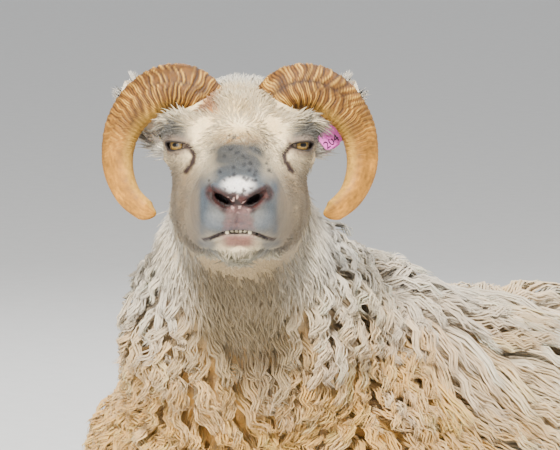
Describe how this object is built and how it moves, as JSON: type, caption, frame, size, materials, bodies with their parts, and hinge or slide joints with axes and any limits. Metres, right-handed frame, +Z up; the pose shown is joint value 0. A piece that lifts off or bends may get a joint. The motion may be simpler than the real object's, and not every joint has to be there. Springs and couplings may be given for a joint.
{
  "type": "icelandic sheep",
  "caption": "life-size horned sheep lying on its chest with its head raised and turned, long fleece and curled horns",
  "frame": {"origin": "middle of the flat patch under the trunk, at the height of the floor", "axes": "+Z up, -Y to the chest, +X to the sheep's left side, to which its head is turned"},
  "size_m": [0.5356, 1.0557, 0.6902],
  "materials": {
    "fleece": "long cream wool in hanging wavy locks",
    "face_hair": "short pale hair over grey skin",
    "horn": "ringed tan horn, smoother and paler at the tip",
    "hoof": "dark dull horn",
    "tag_plastic": "bright pink plastic ear tag with dark figures",
    "eye": "wet amber eye with a dark level pupil"
  },
  "bodies": {
    "root": {"head": "face_hair", "ear_left": "face_hair", "ear_right": "face_hair", "ear_tag": "tag_plastic", "eye_left": "eye", "eye_right": "eye", "horn_left": "horn", "horn_right": "horn", "neck": "fleece", "torso": "fleece", "tail": "fleece", "foreleg_left": "face_hair", "foreleg_right": "face_hair", "hindleg_left": "face_hair", "hindleg_right": "face_hair", "hoof_fore_left": "hoof", "hoof_fore_right": "hoof", "hoof_hind_left": "hoof", "hoof_hind_right": "hoof"}
  },
  "joints": []
}
